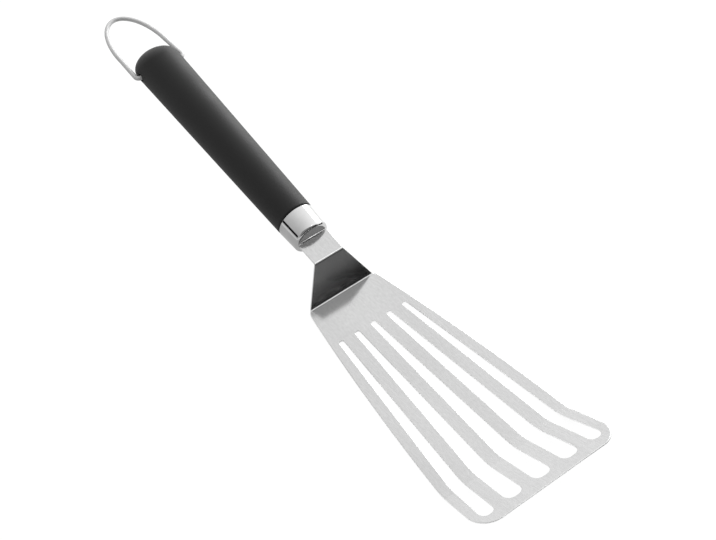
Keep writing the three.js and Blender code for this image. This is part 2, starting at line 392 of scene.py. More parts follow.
@dataclass(frozen=True)
class SoftBlackFinish:
    """Soft-touch black of the grip: fine grain, a wide dull gloss and a little fuzz at its edges."""

    shade: Point = (0.003, 0.006)
    roughness: Point = (0.57, 0.67)
    grain_waves: Triple = (2200.0, 2200.0, 2200.0)
    cloud_waves: Triple = (60.0, 60.0, 60.0)
    grain_share: float = 0.5
    cloud_share: float = 0.5
    grain_depth: float = 0.02 * MM
    grain_strength: float = 0.25
    gloss: float = 0.4
    fuzz: float = 0.04
    fuzz_roughness: float = 0.5

    def build(self) -> bpy.types.Material:
        """Makes the material, in the object's own coordinates.

        Returns:
            The material.
        """
        made = FinishMaterial("soft_touch")
        place = made.place()
        grain = made.noise(place, self.grain_waves, PLAIN)
        clouds = made.noise(place, self.cloud_waves, FINE)
        mottle = made.blend((clouds, self.cloud_share), (grain, self.grain_share))
        return made.dress({
            "Base Color": made.grey(made.ranged(mottle, self.shade)),
            "Roughness": made.ranged(mottle, self.roughness),
            "Specular IOR Level": self.gloss,
            "Sheen Weight": self.fuzz,
            "Sheen Roughness": self.fuzz_roughness,
            "Normal": made.bump(grain, self.grain_strength, self.grain_depth),
        })


def put_in_scene(name: str, data: bpy.types.ID) -> bpy.types.Object:
    """Puts a mesh, curve, lamp or camera in the scene, at the origin.

    Args:
        name: the object's name.
        data: what it holds.

    Returns:
        The new object.
    """
    holder = bpy.data.objects.new(name, data)
    bpy.context.scene.collection.objects.link(holder)
    return holder


def finished_mesh(name: str, work: bmesh.types.BMesh) -> bpy.types.Mesh:
    """Turns a mesh that is being worked on into a plain one.

    Args:
        name: the mesh's name.
        work: the mesh at work, which is freed here.

    Returns:
        The plain mesh.
    """
    mesh = bpy.data.meshes.new(name)
    work.to_mesh(mesh)
    work.free()
    return mesh


def plain_mesh(holder: bpy.types.Object) -> bpy.types.Mesh:
    """Works an object's modifiers into a mesh.

    Args:
        holder: an object with live modifiers.

    Returns:
        A new mesh.
    """
    bpy.context.view_layer.update()
    graph = bpy.context.evaluated_depsgraph_get()
    shaped = holder.evaluated_get(graph)
    return bpy.data.meshes.new_from_object(shaped, preserve_all_data_layers=True, depsgraph=graph)


def line_mesh(name: str, points: list[Vector]) -> bpy.types.Mesh:
    """Makes a mesh that is one open line of edges.

    Args:
        name: the mesh's name.
        points: the line's points.

    Returns:
        The mesh.
    """
    mesh = bpy.data.meshes.new(name)
    mesh.from_pydata(points, [(i, i + 1) for i in range(len(points) - 1)], [])
    return mesh


def dress_whole(mesh: bpy.types.Mesh, finish: bpy.types.Material) -> None:
    """Gives every face of a mesh the same material, also those that a cut has made.

    Args:
        mesh: the mesh to dress.
        finish: its only material.
    """
    mesh.materials.clear()
    mesh.materials.append(finish)
    mesh.polygons.foreach_set("material_index", [0] * len(mesh.polygons))


def turn_outwards(mesh: bpy.types.Mesh) -> None:
    """Makes every face of a closed mesh point outwards.

    Args:
        mesh: the mesh to mend.
    """
    work = bmesh.new()
    work.from_mesh(mesh)
    bmesh.ops.recalc_face_normals(work, faces=work.faces)
    work.to_mesh(mesh)
    work.free()


class GeometryTree:
    """One Geometry Nodes tree with named inputs, which turns a simple guide into a finished mesh."""

    def __init__(self, name: str, inputs: dict[str, str]) -> None:
        """Makes the tree and its sockets.

        Args:
            name: the tree's name.
            inputs: name of each input besides Geometry and Material, to its socket type.
        """
        self.tree = bpy.data.node_groups.new(name, "GeometryNodeTree")
        self.nodes = NodeBuilder(self.tree)
        sockets = {"Geometry": "NodeSocketGeometry", **inputs, "Material": "NodeSocketMaterial"}
        self.identifiers = {}
        for label, kind in sockets.items():
            socket = self.tree.interface.new_socket(label, in_out="INPUT", socket_type=kind)
            self.identifiers[label] = socket.identifier
        self.tree.interface.new_socket("Geometry", in_out="OUTPUT", socket_type="NodeSocketGeometry")
        self.given = self.nodes.add("NodeGroupInput").outputs

    def position(self) -> bpy.types.NodeSocket:
        """Returns the place of each point of the mesh at work."""
        return self.nodes.add("GeometryNodeInputPosition").outputs[0]

    def close(self, geometry: bpy.types.NodeSocket) -> None:
        """Ends the tree with smooth shading, Realize Instances and Set Material.

        Args:
            geometry: the socket that carries the finished shape.
        """
        smooth = self.nodes.add("GeometryNodeSetShadeSmooth", {0: geometry})
        real = self.nodes.add("GeometryNodeRealizeInstances", {0: smooth.outputs[0]})
        inputs = {"Geometry": real.outputs[0], "Material": self.given["Material"]}
        dressed = self.nodes.add("GeometryNodeSetMaterial", inputs)
        self.nodes.add("NodeGroupOutput", {0: dressed.outputs[0]})

    def make(self, name: str, guide: bpy.types.Mesh, values: dict[str, object]) -> bpy.types.Mesh:
        """Runs the tree on a guide mesh.

        Args:
            name: the name of the result.
            guide: the mesh that the tree starts from.
            values: name of each input to its value.

        Returns:
            The result as a plain mesh.
        """
        holder = put_in_scene(name + "_guide", guide)
        modifier = holder.modifiers.new(name, "NODES")
        modifier.node_group = self.tree
        for label, value in values.items():
            modifier[self.identifiers[label]] = value
        mesh = plain_mesh(holder)
        mesh.name = name
        bpy.data.objects.remove(holder)
        return mesh


def lerp(low: float, high: float, share: float) -> float:
    """Returns the value that lies a share of the way from low to high."""
    return low + (high - low) * share


def bowed(start: float, pull: float, end: float, share: float) -> float:
    """Returns the value a share of the way along a curve that leans to a pull between its ends."""
    return lerp(lerp(start, pull, share), lerp(pull, end, share), share)


def bend_reach(turn: float, radius: float) -> float:
    """Returns how far a rounded bend reaches each way from its sharp corner."""
    return radius * math.tan(turn / 2)


def round_corner(
    before: Vector, corner: Vector, after: Vector, radius: float, step: float
) -> list[Vector]:
    """Rounds the corner between two straight lines.

    Args:
        before: a point on the first line.
        corner: the corner.
        after: a point on the second line.
        radius: the arc's radius.
        step: the largest turn between two points of the arc, in radians.

    Returns:
        The arc's points, in order.
    """
    back = (before - corner).normalized()
    ahead = (after - corner).normalized()
    half = back.angle(ahead) / 2
    middle = (back + ahead).normalized()
    centre = corner + middle * (radius / math.sin(half))
    turn = math.pi - 2 * half
    sense = math.copysign(1.0, back.cross(ahead))
    steps = max(1, math.ceil(turn / step))
    arc = []
    for i in range(steps + 1):
        spoke = Matrix.Rotation(sense * turn * (0.5 - i / steps), 2) @ (-middle * radius)
        arc.append(centre + spoke)
    return arc


def round_corners(corners: list[Point], radii: list[float], closed: bool, step: float) -> list[Vector]:
    """Rounds each corner of a line or outline by its own radius.

    Args:
        corners: the corners, in order.
        radii: one radius for each corner, 0 to leave it sharp.
        closed: whether the line is a closed outline.
        step: the largest turn between two points of an arc, in radians.

    Returns:
        The points of the rounded line.
    """
    places = [Vector(corner) for corner in corners]
    result = []
    for i, (corner, radius) in enumerate(zip(places, radii)):
        is_end = not closed and i in (0, len(places) - 1)
        if is_end or radius == 0:
            result.append(corner)
        else:
            after = places[(i + 1) % len(places)]
            result.extend(round_corner(places[i - 1], corner, after, radius, step))
    return result


@dataclass(frozen=True)
class HandleFrame:
    """The handle's own axes, which stand on the fold above the riser with -X back along the tang."""

    fold_x: float
    fold_z: float
    angle: float
    axis_drop: float = 0.8

    def matrix(self) -> Matrix:
        """Works out where the handle's axis stands.

        Returns:
            The matrix from the handle's axis, in millimetres, to the shared frame, in metres.
        """
        place = Matrix.Translation((self.fold_x * MM, 0.0, self.fold_z * MM))
        turn = Matrix.Rotation(self.angle, 4, "Y")
        drop = Matrix.Translation((0.0, 0.0, -self.axis_drop * MM))
        return place @ turn @ drop @ Matrix.Scale(MM, 4)


@dataclass
class Blade:
    """The formed sheet: tang, shelf, riser, slotted blade and raised tip."""

    # Lengths along the sheet, and its widths.
    thickness: float = 1.0
    pad_length: float = 29.0
    slot_length: float = 148.0
    front_strip: float = 7.0
    shoulder_lead: float = 1.4
    shoulder_width: float = 48.8
    side_curve_width: float = 82.5
    front_width: float = 95.4
    shoulder_radius: float = 9.0
    front_corner_radius: float = 12.0
    corner_room: float = 15.0
    # The tip's bend.
    tip_length: float = 40.0
    tip_angle: float = math.radians(22.5)
    tip_radius: float = 30.0
    # The slots, whose ends are rounded by at most a share of their width.
    tine_width: float = 8.0
    slot_rear_width: float = 3.3
    slot_front_widths: Triple = (11.5, 11.2, 8.7)
    slot_front_radius: float = 4.5
    slot_round_limit: float = 0.45
    # The riser, the shelf and the tang.
    riser_height: float = 22.8
    riser_angle: float = math.radians(66.0)
    heel_radius: float = 1.4
    fold_radius: float = 1.6
    shelf_width: float = 20.5
    shelf_length: float = 15.4
    handle_angle: float = math.radians(9.7)
    tang_width: float = 13.0
    tang_length: float = 73.8
    # The rounded edges, and the pad's bow in front of the heel, which shows only in the shading.
    edge_radius: float = 0.42
    slot_edge_radius: float = 0.15
    bow_slope: float = 0.075
    bow_length: float = 26.0
    # How finely the sheet is cut up.
    edge_steps: int = 4
    side_curve_steps: int = 40
    bend_cuts: int = 14
    bow_cuts: int = 16
    arc_step: float = math.radians(6.0)
    longest_edge: float = 8.0
    least_edge: float = 0.05
    least_run: float = 0.3
    least_mitre: float = math.sqrt(0.5)
    cut_tolerance: float = 0.001
    level_tolerance: float = 0.0015

    def __post_init__(self) -> None:
        """Works out the places that follow from the sizes."""
        self.heel_x = -self.pad_length / 2
        self.length = self.pad_length + self.slot_length + self.front_strip
        self.tip_start = self.length - self.tip_length
        self.tip_x = self.heel_x + self.tip_start
        self.fold_x = self.heel_x - self.riser_height / math.tan(self.riser_angle)
        self.fold_z = self.thickness / 2 + self.riser_height
        self.riser_length = self.riser_height / math.sin(self.riser_angle)

    def frame(self) -> HandleFrame:
        """Returns the handle's frame at the top of the riser."""
        return HandleFrame(self.fold_x, self.fold_z, self.handle_angle)

    def plan_x(self, along: float) -> float:
        """Returns the plan place of a length along the blade, measured from the heel's corner."""
        raised = max(along - self.tip_start, 0.0)
        return self.heel_x + min(along, self.tip_start) + raised * math.cos(self.tip_angle)

    def handle_x(self, back: float) -> float:
        """Returns the plan place of a distance back along the handle."""
        return self.fold_x - back * math.cos(self.handle_angle)

    def sheet_place(self, x: float) -> float:
        """Finds where on the sheet a plan place lies.

        Args:
            x: the plan place.

        Returns:
            The length along the sheet from the heel's corner, measured through sharp corners.
        """
        if x < self.fold_x:
            return -self.riser_length - (self.fold_x - x) / math.cos(self.handle_angle)
        if x < self.heel_x:
            return (x - self.heel_x) / math.cos(self.riser_angle)
        raised = max(x - self.tip_x, 0.0)
        return min(x, self.tip_x) - self.heel_x + raised / math.cos(self.tip_angle)

    def sheet_x(self, place: float) -> float:
        """Finds the plan place of a place on the sheet.

        Args:
            place: the length along the sheet from the heel's corner, measured through sharp corners.

        Returns:
            The plan place.
        """
        if place < -self.riser_length:
            return self.handle_x(-self.riser_length - place)
        if place < 0.0:
            return self.heel_x + place * math.cos(self.riser_angle)
        return self.plan_x(place)

    def side_curve(self) -> list[Point]:
        """Lays out the blade's curved left side.

        Returns:
            Plan points from just past the shoulder to the front corner, with room to round that corner.
        """
        middle = (self.shoulder_lead + self.length) / 2
        side = []
        for i in range(1, self.side_curve_steps + 1):
            share = i / self.side_curve_steps
            along = bowed(self.shoulder_lead, middle, self.length, share)
            width = bowed(self.shoulder_width, self.side_curve_width, self.front_width, share)
            side.append((self.plan_x(along), width / 2))
        corner_start = self.plan_x(self.length) - self.corner_room
        return [place for place in side[:-1] if place[0] < corner_start] + [side[-1]]

    def outline(self) -> list[Vector]:
        """Lays out the whole sheet.

        Returns:
            The sheet's plan outline, counter-clockwise.
        """
        shoulder = (self.plan_x(self.shoulder_lead), self.shoulder_width / 2)
        left = [
            (self.handle_x(self.tang_length), self.tang_width / 2),
            (self.handle_x(self.shelf_length), self.tang_width / 2),
            (self.handle_x(self.shelf_length), self.shelf_width / 2),
            (self.fold_x, self.shelf_width / 2),
            shoulder,
            *self.side_curve(),
        ]
        radii = [0.0] * len(left)
        radii[left.index(shoulder)] = self.shoulder_radius
        radii[-1] = self.front_corner_radius
        right = [(x, -y) for x, y in left]
        return round_corners(right + left[::-1], radii + radii[::-1], True, self.arc_step)

    def slot_outline(self, rear: Point, front: Point) -> list[Vector]:
        """Lays out one slot.

        Args:
            rear: the slot's lower and upper edges at its rear.
            front: the same at its front.

        Returns:
            The slot's plan outline, clockwise.
        """
        rear_x = self.plan_x(self.pad_length)
        front_x = self.plan_x(self.pad_length + self.slot_length)
        rear_radius = self.slot_round_limit * (rear[1] - rear[0])
        front_radius = min(self.slot_front_radius, self.slot_round_limit * (front[1] - front[0]))
        corners = [(rear_x, rear[0]), (rear_x, rear[1]), (front_x, front[1]), (front_x, front[0])]
        radii = [rear_radius, rear_radius, front_radius, front_radius]
        return round_corners(corners, radii, True, self.arc_step)

    def slot_outlines(self) -> list[list[Vector]]:
        """Lays out the slots, fanned between tines of one width.

        Returns:
            The slots' plan outlines, from the middle one outwards.
        """
        rear = self.slot_rear_width / 2
        front = self.slot_front_widths[0] / 2
        outlines = [self.slot_outline((-rear, rear), (-front, front))]
        for width in self.slot_front_widths[1:]:
            rear_inner = rear + self.tine_width
            front_inner = front + self.tine_width
            rear = rear_inner + self.slot_rear_width
            front = front_inner + width
            outlines.append(self.slot_outline((rear_inner, rear), (front_inner, front)))
            outlines.append(self.slot_outline((-rear, -rear_inner), (-front, -front_inner)))
        return outlines

    def bends(self) -> list[Triple]:
        """Lists the fold, the heel and the tip's bend.

        Returns:
            Each bend's place on the sheet, its turn and its radius, from the rear.
        """
        return [
            (-self.riser_length, self.riser_angle - self.handle_angle, self.fold_radius),
            (0.0, self.riser_angle, self.heel_radius),
            (self.tip_start, self.tip_angle, self.tip_radius),
        ]

    def cuts(self) -> list[float]:
        """Spreads cuts across each bend and over the pad's bow.

        Returns:
            The places along the sheet at which it needs edges across it.
        """
        places = []
        for corner, turn, radius in self.bends():
            reach = bend_reach(turn, radius)
            for i in range(self.bend_cuts + 1):
                places.append(corner + reach * (2 * i / self.bend_cuts - 1))
        heel_reach = bend_reach(self.riser_angle, self.heel_radius)
        for i in range(1, self.bow_cuts + 1):
            places.append(lerp(heel_reach, self.bow_length, i / self.bow_cuts))
        return places

    def developed(self, place: float) -> float:
        """Takes the allowance of each bend off a length.

        Args:
            place: length along the sheet from the heel's corner, measured through sharp corners.

        Returns:
            The true length along the bent sheet, from the tang's end.
        """
        length = place + self.riser_length + self.tang_length
        for corner, turn, radius in self.bends():
            reach = bend_reach(turn, radius)
            share = min(max((place - corner + reach) / (2 * reach), 0.0), 1.0)
            length -= share * (2 * reach - radius * turn)
        return length

    def bow(self, length: float) -> float:
        """Works out the slope that pressing the heel leaves in the pad's surface.

        Args:
            length: a developed length along the sheet.

        Returns:
            The slope there, which grows over the heel's bend and fades out along the pad.
        """
        past_heel = length - self.developed(0.0)
        share = past_heel / self.bow_length
        if share < 0.0 or share > 1.0:
            return 0.0
        return self.bow_slope * min(1.0, past_heel / self.heel_radius) * (1.0 - share * share)

    def side_line(self) -> list[Vector]:
        """Draws the middle of the sheet in side view, with its bends rounded.

        Returns:
            The line's points from the tang's end to past the tip, so that the whole sheet lies on it.
        """
        middle = self.thickness / 2
        tip = self.tip_length + self.front_strip
        tang_rise = self.tang_length * math.sin(self.handle_angle)
        corners = [
            (self.handle_x(self.tang_length), self.fold_z + tang_rise),
            (self.fold_x, self.fold_z),
            (self.heel_x, middle),
            (self.tip_x, middle),
            (self.tip_x + tip * math.cos(self.tip_angle), middle + tip * math.sin(self.tip_angle)),
        ]
        radii = [0.0, self.fold_radius, self.heel_radius, self.tip_radius, 0.0]
        return round_corners(corners, radii, False, self.arc_step / 2)

    def flat_loop(self, outline: list[Vector]) -> list[Vector]:
        """Lays a plan outline out on the flat sheet, with points where it crosses a bend.

        Args:
            outline: a closed plan outline.

        Returns:
            The outline as lengths along the sheet and across it.
        """
        breaks = [self.sheet_x(place) for place in self.cuts()]
        result = []
        for i, end in enumerate(outline):
            start = outline[i - 1]
            run = end - start
            pieces = max(1, math.ceil(run.length / self.longest_edge))
            shares = {k / pieces for k in range(pieces)}
            if abs(run.x) > self.least_run:
                shares |= {(x - start.x) / run.x for x in breaks}
            for share in sorted(s for s in shares if 0.0 <= s < 1.0):
                place = start + run * share
                spot = Vector((self.developed(self.sheet_place(place.x)), place.y))
                if not result or (spot - result[-1]).length > self.least_edge:
                    result.append(spot)
        return result

    def mitres(self, loop: list[Vector]) -> list[Vector]:
        """Finds the way into the sheet at each point of a loop.

        Args:
            loop: a closed outline on the flat sheet, with the sheet on its left.

        Returns:
            For each point, the step that moves both of its edges in by 1.
        """
        steps = []
        for i, place in enumerate(loop):
            arrive = (place - loop[i - 1]).normalized()
            leave = (loop[(i + 1) % len(loop)] - place).normalized()
            along = (arrive + leave).normalized()
            steps.append(Vector((-along.y, along.x)) / max(along.dot(leave), self.least_mitre))
        return steps

    def edge_rings(self, radius: float) -> list[tuple[float, float, float, float]]:
        """Lists the rings round a cut edge, from the upper face to the lower one.

        Args:
            radius: the radius that the edge is rounded to.

        Returns:
            Each ring's inset and height, and how far its normal leans out and up.
        """
        upper = []
        for i in range(self.edge_steps + 1):
            turn = math.pi / 2 * i / self.edge_steps
            out, up = math.sin(turn), math.cos(turn)
            upper.append((radius * (1 - out), self.thickness / 2 - radius * (1 - up), out, up))
        return upper + [(inset, -height, out, -up) for inset, height, out, up in reversed(upper)]

    def add_edge(
        self,
        work: bmesh.types.BMesh,
        lean: bmesh.types.BMLayerItem,
        loop: list[Vector],
        radius: float,
    ) -> list[list[bmesh.types.BMVert]]:
        """Builds the rounded edge along one loop.

        Args:
            work: the sheet's mesh so far.
            lean: its layer for the way that the surface faces.
            loop: a closed outline on the flat sheet.
            radius: the radius that the edge is rounded to.

        Returns:
            The edge's rows of points, from the upper face to the lower one.
        """
        inward = self.mitres(loop)
        rows = []
        for inset, height, sideways, upright in self.edge_rings(radius):
            row = []
            for place, inner in zip(loop, inward):
                spot = place + inner * inset
                vert = work.verts.new((spot.x * MM, spot.y * MM, height * MM))
                outer = -inner.normalized() * sideways
                vert[lean] = (outer.x, outer.y, upright)
                row.append(vert)
            rows.append(row)
        for upper, lower in zip(rows, rows[1:]):
            for i in range(len(loop)):
                work.faces.new((upper[i - 1], upper[i], lower[i], lower[i - 1]))
        return rows

    def lean_faces(self, work: bmesh.types.BMesh, lean: bmesh.types.BMLayerItem) -> None:
        """Stores the way that the sheet's two faces look, with the pad's slight bow.

        Args:
            work: the flat sheet's mesh.
            lean: its layer for the way that the surface faces.
        """
        level = (self.thickness / 2 - self.level_tolerance) * MM
        for vert in work.verts:
            if abs(vert.co.z) > level:
                upright = math.copysign(1.0, vert.co.z)
                slope = self.bow(vert.co.x / MM)
                vert[lean] = Vector((-slope * upright, 0.0, upright)).normalized()

    def flat_sheet(self) -> bpy.types.Mesh:
        """Builds the sheet flat, with rounded edges, cuts across each bend and a map of its own.

        Returns:
            The flat sheet, which lies along X from the tang's end.
        """
        work = bmesh.new()
        lean = work.verts.layers.float_vector.new(LEAN)
        edged = [(self.outline(), self.edge_radius)]
        edged.extend((slot, self.slot_edge_radius) for slot in self.slot_outlines())
        upper_rim = []
        lower_rim = []
        for outline, radius in edged:
            rows = self.add_edge(work, lean, self.flat_loop(outline), radius)
            for rim, row in ((upper_rim, rows[0]), (lower_rim, rows[-1])):
                rim.extend(work.edges.get((row[i - 1], row[i])) for i in range(len(row)))
        for rim in (upper_rim, lower_rim):
            bmesh.ops.triangle_fill(work, use_beauty=True, edges=rim)
        for place in self.cuts():
            bmesh.ops.bisect_plane(
                work,
                geom=work.verts[:] + work.edges[:] + work.faces[:],
                dist=self.cut_tolerance * MM,
                plane_co=(self.developed(place) * MM, 0.0, 0.0),
                plane_no=(1.0, 0.0, 0.0),
            )
        self.lean_faces(work, lean)
        bmesh.ops.recalc_face_normals(work, faces=work.faces)
        flat_map = work.loops.layers.uv.new(FLAT_MAP)
        for face in work.faces:
            for corner in face.loops:
                corner[flat_map].uv = corner.vert.co.xy
        return finished_mesh("flat_sheet", work)

    def bending_tree(self) -> GeometryTree:
        """Builds the tree that lays a flat sheet along a side line.

        Returns:
            The tree, with the line as an input.
        """
        made = GeometryTree("sheet_along_side_line", {"Side line": "NodeSocketObject"})
        nodes = made.nodes
        inputs = {"Object": made.given["Side line"]}
        guide = nodes.add("GeometryNodeObjectInfo", inputs, transform_space="RELATIVE")
        flat = nodes.split(made.position())
        inputs = {"Curves": guide.outputs["Geometry"], "Length": flat[0]}
        spot = nodes.add("GeometryNodeSampleCurve", inputs, mode="LENGTH").outputs
        along = spot["Tangent"]
        off = nodes.vector("CROSS_PRODUCT", along, (0.0, 1.0, 0.0))
        aside = nodes.vector("ADD", nodes.joined({"Y": flat[1]}), nodes.scaled(off, flat[2]))
        place = nodes.vector("ADD", spot["Position"], aside)
        inputs = {"Name": LEAN}
        stored = nodes.add("GeometryNodeInputNamedAttribute", inputs, data_type="FLOAT_VECTOR")
        lean = nodes.split(stored.outputs[0])
        level = nodes.vector("ADD", nodes.scaled(along, lean[0]), nodes.joined({"Y": lean[1]}))
        normal = nodes.vector("ADD", level, nodes.scaled(off, lean[2]))
        inputs = {"Mesh": made.given["Geometry"], "Custom Normal": normal}
        shaded = nodes.add("GeometryNodeSetMeshNormal", inputs, mode="FREE", domain="POINT")
        inputs = {"Geometry": shaded.outputs[0], "Position": place}
        made.close(nodes.add("GeometryNodeSetPosition", inputs).outputs[0])
        return made

    def side_guide(self) -> bpy.types.Object:
        """Draws the side line as a curve.

        Returns:
            The curve's object, in metres.
        """
        line = bpy.data.curves.new("side_line", "CURVE")
        line.dimensions = "3D"
        spline = line.splines.new("POLY")
        points = self.side_line()
        spline.points.add(len(points) - 1)
        for knot, place in zip(spline.points, points):
            knot.co = (place.x * MM, 0.0, place.y * MM, 1.0)
        return put_in_scene("side_line", line)

    def build(self, finish: bpy.types.Material) -> bpy.types.Object:
        """Bends the flat sheet into the blade.

        Args:
            finish: the sheet's material.

        Returns:
            The blade, in place of the frame's node.
        """
        guide = self.side_guide()
        values = {"Side line": guide, "Material": finish}
        mesh = self.bending_tree().make("blade_sheet", self.flat_sheet(), values)
        bpy.data.objects.remove(guide)
        piece = put_in_scene("blade_sheet", mesh)
        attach(piece, Body.SPATULA.value)
        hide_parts("blade")
        return piece


class Lathe:
    """Turns a profile of radius and distance back about the handle's axis, by Geometry Nodes."""

    merge_distance: float = 0.001

    def __init__(self) -> None:
        """Builds the tree: a grid whose rows are the profile's points and whose columns go round."""
        sockets = {"Sides": "NodeSocketInt", "Slant": "NodeSocketFloat"}
        self.made = GeometryTree("turned_about_axis", sockets)
        nodes = self.made.nodes
        given = self.made.given
        profile = given["Geometry"]
        size = nodes.add("GeometryNodeAttributeDomainSize", {0: profile}, component="MESH")
        count = size.outputs["Point Count"]
        last = nodes.math("SUBTRACT", count, 1.0)
        around = nodes.math("ADD", given["Sides"], 1.0)
        inputs = {"Size X": last, "Size Y": 2 * math.pi, "Vertices X": count, "Vertices Y": around}
        grid = nodes.add("GeometryNodeMeshGrid", inputs).outputs["Mesh"]
        # The grid is centred on the origin, so half its length is added to number its rows from 0.
        cell = nodes.split(self.made.position())
        row = nodes.math("ROUND", nodes.math("MULTIPLY_ADD", last, 0.5, cell[0]))
        inputs = {"Geometry": profile, "Value": self.made.position(), "Index": row}
        sample = nodes.add("GeometryNodeSampleIndex", inputs, data_type="FLOAT_VECTOR", domain="POINT")
        radius, distance, slant_share = nodes.split(sample.outputs[0])
        sideways = nodes.math("MULTIPLY", radius, nodes.math("SINE", cell[1]))
        height = nodes.math("MULTIPLY", radius, nodes.math("COSINE", cell[1]))
        slant = nodes.math("MULTIPLY", slant_share, given["Slant"])
        ahead = nodes.math("SUBTRACT", nodes.math("MULTIPLY", slant, height), distance)
        place = nodes.joined({"X": ahead, "Y": sideways, "Z": height})
        shaped = nodes.add("GeometryNodeSetPosition", {"Geometry": grid, "Position": place})
        inputs = {"Geometry": shaped.outputs[0], "Distance": self.merge_distance}
        self.made.close(nodes.add("GeometryNodeMergeByDistance", inputs).outputs[0])

    def turn(
        self,
        name: str,
        profile: list[Triple],
        sides: int,
        finish: bpy.types.Material,
        slant: float = 0.0,
    ) -> bpy.types.Mesh:
        """Turns one piece, in millimetres, on the handle's axis.

        Args:
            name: the mesh's name.
            profile: points of radius, distance back, and share of the slant.
            sides: how many facets go round.
            finish: the piece's material.
            slant: tangent of the slant, by which the upper side moves forwards.

        Returns:
            The closed mesh, with its faces outwards.
        """
        guide = line_mesh(name + "_profile", [Vector(spot) for spot in profile])
        mesh = self.made.make(name, guide, {"Sides": sides, "Slant": slant, "Material": finish})
        turn_outwards(mesh)
        return mesh


def held_profile(corners: list[Point], radii: list[float], step: float, hold: float) -> list[Vector]:
    """Rounds a profile and adds a point near each end of its straight sides, to keep their shading true.

    Args:
        corners: points of radius and distance back.
        radii: one radius for each corner.
        step: the largest turn between two points of an arc, in radians.
        hold: how far from an arc or a sharp corner the added points stand.

    Returns:
        The profile's points.
    """
    short_side = 4 * hold
    line = round_corners(corners, radii, False, step)
    result = [line[0]]
    for start, end in zip(line, line[1:]):
        run = end - start
        if run.length > short_side:
            result.append(start + run.normalized() * hold)
            result.append(end - run.normalized() * hold)
        result.append(end)
    return result


def work_solid(piece: bpy.types.Object, solid: bpy.types.Mesh, work: Work, crease: float) -> None:
    """Cuts a solid out of a piece, or joins it on, and keeps the new edges crisp.

    Args:
        piece: the object whose mesh is replaced.
        solid: the closed mesh to cut or join, in the same coordinates.
        work: whether the solid is cut out or joined on.
        crease: the angle above which an edge stays sharp, in radians.
    """
    tool = put_in_scene(piece.name + "_tool", solid)
    modifier = piece.modifiers.new("work", "BOOLEAN")
    modifier.operation = work.value
    modifier.solver = "EXACT"
    modifier.object = tool
    mesh = plain_mesh(piece)
    piece.modifiers.remove(modifier)
    old = piece.data
    piece.data = mesh
    mesh.name = old.name
    bpy.data.meshes.remove(old)
    bpy.data.objects.remove(tool)
    mesh.set_sharp_from_angle(angle=crease)


def cross_bar(
    name: str, radius: float, length: float, place: Triple, sides: int = 48, rings: int = 17
) -> bpy.types.Mesh:
    """Makes a round bar with round ends that lies across the handle: a ball, pulled apart at its middle.

    Args:
        name: the mesh's name.
        radius: the bar's radius.
        length: its length along Y, over its ends.
        place: its middle.
        sides: how many facets go round it.
        rings: how many bands the ball has, an odd number so that none of its points lie at its middle.

    Returns:
        The closed mesh.
    """
    work = bmesh.new()
    bmesh.ops.create_uvsphere(work, u_segments=sides, v_segments=rings, radius=radius)
    for vert in work.verts:
        vert.co.z += math.copysign(length / 2 - radius, vert.co.z)
    work.transform(Matrix.Translation(place) @ Matrix.Rotation(math.pi / 2, 4, "X"))
    return finished_mesh(name, work)


def block(name: str, size: Triple, place: Triple) -> bpy.types.Mesh:
    """Makes a square block.

    Args:
        name: the mesh's name.
        size: its length along each axis.
        place: its middle.

    Returns:
        The closed mesh.
    """
    work = bmesh.new()
    bmesh.ops.create_cube(work, size=1.0)
    work.transform(Matrix.Translation(place) @ Matrix.Diagonal((*size, 1.0)))
    return finished_mesh(name, work)


